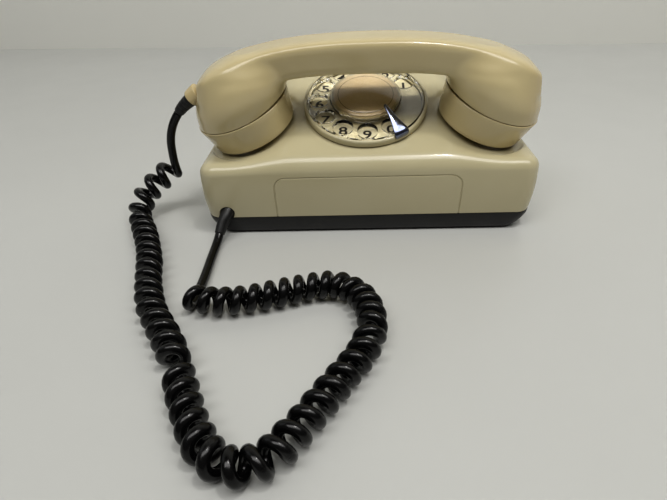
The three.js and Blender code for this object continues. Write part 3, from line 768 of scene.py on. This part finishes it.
def housing_shell(x, y, z):
    block = housing_block(x, y, z)
    shell = np.maximum(block, -block - WALL)
    u, v, w = in_frame(DIAL, x, y, z)
    mouth = np.maximum(np.hypot(u, v) - DIAL_MOUTH_RADIUS, np.maximum(-14 - w, w - 12))
    shell = both(shell, -mouth, 0.5)
    for place in CUPS.values():
        u, v, w = in_frame(place, x, y, z)
        hole = np.maximum(np.hypot(u, v) - PLUNGER_HOLE_RADIUS, np.abs(w + CUP_HEIGHT + 4) - 9)
        shell = both(shell, -hole, 0.4)
    return shell


PANEL_HALF_WIDTH, PANEL_TOP, PANEL_CORNER = 59, 41.5, 7


def panel_groove():
    """A round groove along the outline of the front panel, open at the bottom."""
    left = arc((-PANEL_HALF_WIDTH + PANEL_CORNER, PANEL_TOP - PANEL_CORNER), PANEL_CORNER, 180, 90, 9)
    right = arc((PANEL_HALF_WIDTH - PANEL_CORNER, PANEL_TOP - PANEL_CORNER), PANEL_CORNER, 90, 0, 9)
    sides = [(-PANEL_HALF_WIDTH, z) for z in (8, 16, 25)]
    top = [(x, PANEL_TOP) for x in np.linspace(-44, 44, 12)]
    outline = sides + left + top + right + [(-x, z) for x, z in reversed(sides)]
    line = np.array([(x, -half_depth(z) - 0.05, z) for x, z in outline])
    return solid_tube(line, 0.55, 10)


def make_housing():
    points, quads = moulded(housing_shell, (-110, -58, 9), (110, 58, 94), 1.05)
    shell = piece("housing_shell", points, quads, BEIGE, "base", "beige_plastic", ["housing"])
    cut(shell, *slab(120, 70, -5, PART_LINE + 0.3), TABLE)
    cut(shell, *panel_groove(), TABLE)
    cut(shell, *solid_tube(evenly(BASE_RELIEF[:3], 1)[0], RELIEF_ROOM_RADIUS, 28), TABLE)


def slab(half_x, half_y, low, high):
    rings = [
        [(-half_x, -half_y, z), (half_x, -half_y, z), (half_x, half_y, z), (-half_x, half_y, z)]
        for z in (low, high)
    ]
    return np.array(rings).reshape(-1, 3), skin(rings)


# ---------------------------------------------------------------- base tray
TRAY_BOTTOM = 1.2
TRAY_FLOOR = 4
FOOT_ROOM, SCREW_ROOM, WHEEL_ROOM = 6.3, 4.4, 9.6  # radii


def tray_block(x, y, z):
    """Walls that lean out in a curve from the bottom to the part line."""
    rise = np.clip((z - TRAY_BOTTOM) / (PART_LINE - TRAY_BOTTOM), 0, 1)
    spread = 1 - (1 - rise) ** 1.7
    return rounded_plan(x, y, 99 + 7 * spread, 50 + 2.4 * spread, CORNER)


def tray_shell(x, y, z):
    walls = tray_block(x, y, z)
    outside = both(walls, TRAY_BOTTOM - z, 1.2)
    inside = np.maximum(walls + 3.4, TRAY_FLOOR - z)
    shell = np.maximum(outside, -inside)
    rooms = [(f"rubber_foot_{i}", FOOT_ROOM) for i in (1, 2, 3, 4)]
    rooms += [(f"base_screw_{i}", SCREW_ROOM) for i in (1, 2)] + [("ringer_volume_wheel", WHEEL_ROOM)]
    for node, radius in rooms:
        low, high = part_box(node)
        centre = (low + high) / 2 / MM
        shell = np.maximum(shell, radius - np.hypot(x - centre.x, y - centre.y))
    low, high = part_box("line_cord_inlet")
    middle, half = (low + high) / 2 / MM, (high - low) / 2 / MM
    room = np.maximum(np.abs(x - middle.x) - half.x, np.abs(z - middle.z) - half.z) - 0.4
    return np.maximum(shell, -np.maximum(room, 40 - y))


def make_tray():
    points, quads = moulded(tray_shell, (-109, -56, 0.3), (109, 56, 15.3), 1.0)
    tray = piece("base_tray_shell", points, quads, BLACK, "base", "black_plastic", ["base_tray"])
    cut(tray, *slab(120, 70, PART_LINE, 30), TABLE)
    cut(tray, *solid_tube(evenly(BASE_RELIEF, 1)[0], RELIEF_ROOM_RADIUS, 24), TABLE)


# ---------------------------------------------------------------- handset
# Stations from the middle outwards: distance, bottom, top, half width.
GRIP = [
    (0, 22.6, 45.6, 16.6), (20, 22.4, 45.2, 16.6), (40, 21.2, 43.8, 16.8), (60, 18, 41, 18.4),
    (76, 12, 37, 21), (88, 8, 32.6, 23), (96, 8, 28.4, 22), (101.5, 10, 23, 18),
]
GRIP_FALL = 0.2  # of the top towards the back
GRIP_SQUARENESS = 0.4  # 1 is an ellipse, 0 a rectangle
# Rings of a bulb from the parting circle up: distance, height, tilt in degrees, half widths.
BULB = [
    (80, 0, 19.5, 31.7, 31.7), (79, 9, 13, 31.2, 32.6), (76.6, 18, 7, 29.2, 31.2), (74, 26, 3, 25, 27.6),
    (72, 32, 1, 19, 21), (70, 35, 0, 10, 11),
]
BULB_FALL = 0.26
JOINT_FILLET = 5  # where the bulbs meet the grip


def grip_loft():
    stations = np.array([(-x, *rest) for x, *rest in GRIP[:0:-1]] + GRIP, float)
    along = np.linspace(stations[0, 0], stations[-1, 0], 110)
    values = curve_through(stations[:, 0], stations[:, 1:], along)
    angles = angles_round(48, start=0.5)
    rings = []
    for x, (bottom, top, half_width) in zip(along, values):
        y = half_width * squared(np.cos(angles), GRIP_SQUARENESS)
        up = squared(np.sin(angles), GRIP_SQUARENESS)
        fall = GRIP_FALL * (y + half_width) * (1 + up) / 2
        z = (bottom + top) / 2 + (top - bottom) / 2 * up - fall
        rings.append(np.stack([np.full_like(y, x), y, z], axis=1))
    return np.array(rings)


def bulb_loft(sign):
    rows = np.array(BULB, float)
    start = rows[0] - (rows[1] - rows[0]) * np.array([1, 0.5, 1, -0.1, 0.1])
    rows = np.concatenate([[start], rows])
    heights = np.linspace(start[1], rows[-1, 1], 50)
    angles = angles_round(72)
    rings = []
    values = curve_through(rows[:, 1], np.delete(rows, 1, axis=1), heights)
    for height, (x, tilt, half_x, half_y) in zip(heights, values):
        tilt = math.radians(tilt)
        across, y = half_x * np.cos(angles), half_y * np.sin(angles)
        fall = BULB_FALL * (y + half_y) * height / BULB[-1][1]
        ring = [sign * (x + across * math.cos(tilt)), y, height - across * math.sin(tilt) - fall]
        rings.append(np.stack(ring, axis=1))
    return np.array(rings)


def closed_faces(rings):
    """A loft's faces with its ends as fans of triangles round an added middle point."""
    count, sides = len(rings), len(rings[0])
    points = np.concatenate([rings.reshape(-1, 3), [rings[0].mean(0), rings[-1].mean(0)]])
    faces = skin(rings, caps=False)
    for i in range(sides):
        j = (i + 1) % sides
        last = (count - 1) * sides
        faces.append((count * sides, j, i))
        faces.append((count * sides + 1, last + i, last + j))
    return points, faces


def make_handset():
    """Grip and bulbs as one smooth body, hollowed above each cap."""
    low, high, step, reach = (-118, -42, -14), (118, 42, 54), 1.05, 14
    grip, left, right = (
        level_set(*closed_faces(rings), low, high, step, reach)
        for rings in (grip_loft(), bulb_loft(-1), bulb_loft(1))
    )
    swelling = 0.5  # what the sampling and the smoothing took off
    whole = either(either(grip, left, JOINT_FILLET), right, JOINT_FILLET) + swelling
    points, quads = surface_of(whole, low, step)
    body = piece("handset_body", points, quads, AGED, "handset", "aged_beige_plastic", ["handset_shell"],
                 place=HANDSET)
    smooth = body.modifiers.new("even", "SMOOTH")
    smooth.factor, smooth.iterations = 0.5, 5
    apply_modifiers(body)
    lip = 0.7
    edge = arc((CUP_RADIUS - lip, lip), lip, -90, 0, 6)
    floor = [(0, 10), (16, 10), (22, 7), (26, 3), (28, 0), (CUP_RADIUS - lip, 0)]
    below = floor + edge + [(44, lip), (44, -24), (0, -24)]
    for place in CUPS.values():
        cut(body, *spun(below), place)


def make_caps():
    """The screwed caps: a rolled lip at the top, a tapering side, a rounded face with sound holes."""
    names = {-1: ("mouth_cap", "transmitter_cap"), 1: ("ear_cap", "receiver_cap")}
    rings = {-1: [(0, 1), (8, 6), (16, 6)], 1: [(0, 1), (6, 6)]}
    face, rounding, lip = CUP_FACE_RADIUS, 3.4, 0.6
    outer = [(0, -CUP_HEIGHT), (21, -CUP_HEIGHT)] + arc((face - rounding, -16.6), rounding, -90, -8, 8)
    outer += [(face + (CUP_RADIUS - face) * t, -16.2 + 15.2 * t) for t in (0.25, 0.5, 0.75)]
    outer += arc((CUP_RADIUS - lip, -1.1), lip, 0, 90, 5)
    profile = outer + [(29, -0.5), (26.4, -16), (25.6, -16.8), (0, -16.8)]
    hole = spun([(0, -24), (1.3, -24), (1.3, -12), (0, -12)], 20)
    for sign, (name, node) in names.items():
        cap = piece(name, *spun(profile), AGED, "handset", "aged_beige_plastic", [node], place=CUPS[sign])
        for radius, count in rings[sign]:
            for i in range(count):
                angle = i / count * 2 * math.pi + 0.2
                spot = CUPS[sign] @ shift(radius * math.cos(angle), radius * math.sin(angle), 0)
                cut(cap, *hole, spot)


# ---------------------------------------------------------------- strain reliefs
HANDSET_COLLAR = [(-104.5, -25.2, 88.5), (-107.6, -25, 86.4), (-110.6, -24.8, 84)]
HANDSET_RELIEF = [(-110.9, -24.8, 83.8), (-113.6, -24.6, 81.8), (-117, -24.2, 79), (-120.4, -23.6, 75.6)]
BASE_RELIEF = [(-91.4, -50.6, 17.6), (-92.6, -54.6, 15.6), (-94.8, -59.2, 11.4), (-96.3, -63.4, 7.2)]
RELIEF_ROOM_RADIUS = 4.9  # of the hole that the base's relief comes out of


def sleeve(name, route, widths, material, body, slot, node):
    """A tapered sleeve along a route; widths are (share of length, radius)."""
    line, along = evenly(route, 0.25)
    radii = np.interp(along / along[-1], *zip(*widths))
    return piece(name, *solid_tube(line, radii, 32), material, body, slot, [node])


def rounded_widths(start, end, edge, ribs=0):
    """A taper with rounded ends and, if asked, shallow rings moulded round it."""
    widths = []
    for share in np.linspace(0, 1, 160):
        radius = start + (end - start) * share
        near_end = min(share, 1 - share) / edge
        if near_end < 1:
            radius -= 0.5 * (1 - math.sqrt(1 - (1 - near_end) ** 2))
        if ribs and 0.18 < share < 0.9:
            radius -= 0.28 * max(0, math.cos((share - 0.18) / 0.72 * ribs * 2 * math.pi)) ** 4
        widths.append((share, radius))
    return widths


def make_reliefs():
    """The collar and both strain reliefs; gives back the two that the wire runs through."""
    sleeve("cord_collar", HANDSET_COLLAR, rounded_widths(6.2, 5.6, 0.12), AGED, "handset",
           "aged_beige_plastic", "handset_cord_collar")
    top = sleeve("handset_cord_sleeve", HANDSET_RELIEF, rounded_widths(4.4, 3.3, 0.06, ribs=3), BLACK,
                 "handset", "black_plastic", "handset_strain_relief")
    bottom = sleeve("base_cord_sleeve", BASE_RELIEF, rounded_widths(4.5, 3.2, 0.04), BLACK, "base",
                    "black_plastic", "base_strain_relief")
    return [top, bottom]


# ---------------------------------------------------------------- dial
BEZEL_RADIUS = 40.8
WHEEL_RADIUS = 38.3
HOLES = 10
HOLE_CIRCLE = 30.7
HOLE_RADIUS = 6.3
FIRST_HOLE, HOLE_STEP = 31, 30
STOP_ANGLE = 303


def hole_centre(i):
    angle = math.radians(FIRST_HOLE + i * HOLE_STEP)
    return HOLE_CIRCLE * math.cos(angle), HOLE_CIRCLE * math.sin(angle)


def make_bezel():
    """The rim ring, notched for the finger stop's foot."""
    profile = [(37, 0.4), (BEZEL_RADIUS - 0.6, 0.4)] + arc((BEZEL_RADIUS - 0.6, 1), 0.6, -90, 0, 4)
    profile += arc((BEZEL_RADIUS - 1.4, 3.6), 1.4, 0, 90, 8)
    profile += arc((39.3, 4.4), 0.6, 90, 180, 5) + [(38.7, 1.8), (38.4, 1.6), (37, 1.6)]
    ring = piece("dial_rim", *spun(profile, 144), BEIGE, "base", "beige_plastic", ["dial_bezel"], place=DIAL)
    notch, faces = slab(4, 5.3, 3, 12)
    cut(ring, notch + np.array([43.2, -0.2, 0]), faces, DIAL @ turn(STOP_ANGLE, "Z"))


def make_plate():
    """The number plate: a flat ring with a fine groove round its inner part under the wheel's hub."""
    profile = [(4.2, -2.6), (36.2, -2.6), (36.5, -2.3)] + arc((36.1, -0.2), 0.4, 0, 90, 4)
    profile += [(24.4, 0.2), (24, -0.1), (23.6, 0.2), (4.4, 0.2), (4.2, 0)]
    piece("number_ring", *spun(profile, 144), IVORY, "base", "ivory_plastic", ["number_plate"], place=DIAL)


def make_digits():
    """Printed digits, upright as read from the front, on the plate under the finger holes."""
    height, width, lift, above_plate = 6.8, 1.22, 1.5, 0.24
    height_of_size_one = 0.69
    for i in range(HOLES):
        digit = str((i + 1) % 10)
        text = bpy.data.curves.new("digit", "FONT")
        text.body = digit
        text.size = height / height_of_size_one
        text.align_x = "CENTER"
        text.align_y = "CENTER"
        text.extrude = 0.05
        text.offset = 0.14
        text.resolution_u = 6
        mesh = mesh_of(text)
        x, y = hole_centre(i)
        spot = shift(x, y + lift, above_plate)
        mesh.transform(Matrix.Scale(MM, 4) @ DIAL @ spot @ Matrix.Diagonal((width, 1, 1, 1)))
        finished("digit_" + digit, mesh, INK, "base")


def flat_plate(outline_radius, holes, low, high, edge):
    """A flat round plate with round holes and rounded edges, as a mesh in millimetres."""
    curve = bpy.data.curves.new("plate", "CURVE")
    curve.dimensions = "2D"
    curve.fill_mode = "BOTH"
    curve.resolution_u = 24
    curve.extrude = (high - low) / 2 - edge
    curve.bevel_depth = edge
    curve.bevel_resolution = 3
    curve.offset = -edge
    handle = 0.5522847  # handles this share of the radius long make a quarter of a circle
    for x, y, radius in [(0, 0, outline_radius)] + holes:
        spline = curve.splines.new("BEZIER")
        spline.bezier_points.add(3)
        spline.use_cyclic_u = True
        for k, point in enumerate(spline.bezier_points):
            angle = k * math.pi / 2
            c, s = math.cos(angle), math.sin(angle)
            point.co = (x + radius * c, y + radius * s, 0)
            point.handle_right = point.co + Vector((-s, c, 0)) * radius * handle
            point.handle_left = point.co - Vector((-s, c, 0)) * radius * handle
    mesh = mesh_of(curve)
    mesh.transform(shift(0, 0, (low + high) / 2))
    return mesh


def make_wheel():
    holes = [(*hole_centre(i), HOLE_RADIUS) for i in range(HOLES)]
    shaft_hole = (0, 0, 3.4)
    mesh = flat_plate(WHEEL_RADIUS, holes + [shaft_hole], 2.3, 5.3, 0.7)
    mesh.transform(Matrix.Scale(MM, 4) @ DIAL)
    finished("clear_finger_wheel", mesh, CLEAR, "dial", ["finger_wheel"], sharp=30)


def make_hub():
    """The holder, the plain card on it and the domed cover over them."""
    holder = [(0, 5.6), (21.4, 5.6), (22, 6.1)] + arc((21.6, 7.1), 0.4, 0, 90, 4) + [(0, 7.5)]
    card = [(0, 7.8), (20.4, 7.8), (20.4, 8.1), (20.3, 8.2), (0, 8.2)]
    line = [(17.6, 8.21), (17.9, 8.21), (17.9, 8.26), (17.6, 8.26)]
    rim, crown, bulge = 23.6, 15.0, 4.4
    bend = [(r, bulge * (r / 20.6) ** 2) for r in np.linspace(2, 19.8, 12)]
    dome = [(0, crown)] + [(r, crown - fall) for r, fall in bend]
    dome += [(20.9, 10.25), (21.9, 9.4), (22.8, 8.4), (23.4, 7.6), (rim, 6.9), (rim, 5.9), (23.4, 5.6)]
    inner = [(22.4, 5.6), (22.4, 7.6), (21.8, 8.3), (20.8, 8.95)]
    inner += [(r, crown - 1.4 - fall) for r, fall in reversed(bend)] + [(0, crown - 1.4)]
    piece("card_seat", *spun(holder), IVORY, "dial", "ivory_plastic", ["card_holder"], place=DIAL)
    piece("plain_card", *spun(card), CARD, "dial", "paper_card", ["number_card"], place=DIAL)
    piece("card_border", *spun(line), INK, "dial", "paper_card", place=DIAL)
    piece("domed_cover", *spun(dome + inner, 120), AMBER, "dial", "amber_clear", ["card_cover"], place=DIAL)


def make_stop():
    """The finger stop: one pressed strip, wide on the rim, bending over it and tapering to a narrow tip."""
    # Along the strip: distance from the dial's middle, height, half width, sideways shift.
    strip = [
        (40.6, 3.3, 4.6, -0.2), (40.6, 4.2, 4.9, -0.2), (40.3, 5.3, 5.1, -0.2), (39.5, 6.3, 5.1, -0.2),
        (38.2, 7.1, 4.8, -0.2), (36.4, 7.9, 4.2, -0.2), (34.2, 8.7, 3.5, -0.15), (31.8, 9.6, 2.8, -0.1),
        (29.4, 10.5, 2.25, 0), (27, 11.4, 1.8, 0.1), (24.4, 12.3, 1.4, 0.15), (21.8, 13.1, 1.05, 0.2),
        (20.6, 13.45, 0.7, 0.2),
    ]
    rows = np.array(strip, float)
    knots = distance_along(rows[:, :2])
    rows = curve_through(knots, rows, np.linspace(0, knots[-1], 70))
    ahead = np.gradient(rows[:, :2], axis=0)
    ahead /= np.linalg.norm(ahead, axis=1)[:, None]
    half_thickness, crown_height = 0.62, 0.35
    angles = angles_round(28, start=0.5)
    rings = []
    for (radial, height, half, aside), (du, dz) in zip(rows, ahead):
        across = half * squared(np.cos(angles), 0.28)
        crown = crown_height * (1 - (across / half) ** 2)
        over = half_thickness * squared(np.sin(angles), 0.5) + crown
        rings.append(np.stack([radial + over * dz, aside + across, height - over * du], axis=1))
    piece("plated_finger_stop", np.array(rings), skin(rings), CHROME, "base", "chrome", ["finger_stop"],
          place=DIAL @ turn(STOP_ANGLE, "Z"), sharp=50)


# ---------------------------------------------------------------- studio
def stage_mesh(name, points, faces, material):
    mesh = bpy.data.meshes.new(name)
    mesh.from_pydata(points, [], faces)
    mesh.materials.append(material)
    made = bpy.data.objects.new(name, mesh)
    bpy.context.scene.collection.objects.link(made)


def make_stage():
    table = Shader("table", Roughness=0.36)
    base = table.mixed(table.noise(3, 3), colour(196, 197, 194), colour(188, 189, 186))
    table.set("Base Color", base)
    table.set("Roughness", table.ranged(table.noise(9, 4), 0.3, 0.7, 0.3, 0.42))
    wall = Shader("wall", Roughness=0.8)
    wall.set("Base Color", wall.mixed(wall.noise(2, 3), colour(226, 226, 220), colour(219, 219, 213)))
    # The wall stands a little askew behind the telephone.
    far, lean, wide, tall = 0.557, -0.114, 6, 3
    left, right = far - lean * wide, far + lean * wide
    stage_mesh("table_top", [(-wide, -wide, 0), (wide, -wide, 0), (wide, right, 0), (-wide, left, 0)],
               [(0, 1, 2, 3)], table.material)
    stage_mesh("backdrop", [(-wide, left, 0), (wide, right, 0), (wide, right, tall), (-wide, left, tall)],
               [(0, 1, 2, 3)], wall.material)


def area_light(name, place, aim, size, power, tint):
    data = bpy.data.lights.new(name, "AREA")
    data.shape = "RECTANGLE"
    data.size, data.size_y = size
    data.energy = power
    data.color = tint
    made = bpy.data.objects.new(name, data)
    bpy.context.scene.collection.objects.link(made)
    made.location = place
    made.rotation_mode = "QUATERNION"
    made.rotation_quaternion = (Vector(aim) - Vector(place)).to_track_quat("-Z", "Y")


def make_light():
    world = bpy.data.worlds.new("studio")
    bpy.context.scene.world = world
    world.use_nodes = True
    background = world.node_tree.nodes["Background"]
    background.inputs["Color"].default_value = (1, 0.96, 0.9, 1)
    background.inputs["Strength"].default_value = 0.09
    area_light("ceiling", (0.1, -0.67, 1.58), (0, 0, 0), (2.6, 0.7), 22, (1, 0.99, 0.97))
    area_light("lamp", (0.32, -0.3, 1.3), (0, 0, 0.05), (0.12, 0.12), 2.8, (1, 0.98, 0.94))
    area_light("window", (-1.3, 0.1, 0.9), (0, 0, 0.05), (0.8, 0.9), 1, (0.95, 0.98, 1))
    bpy.context.scene.view_settings.view_transform = "Standard"
    bpy.context.scene.view_settings.look = "Medium High Contrast"


# ---------------------------------------------------------------- everything
make_camera()
make_light()
make_stage()
make_cord(pieces_on_it=make_reliefs())
make_housing()
make_tray()
make_handset()
make_caps()
make_bezel()
make_plate()
make_digits()
make_wheel()
make_hub()
make_stop()
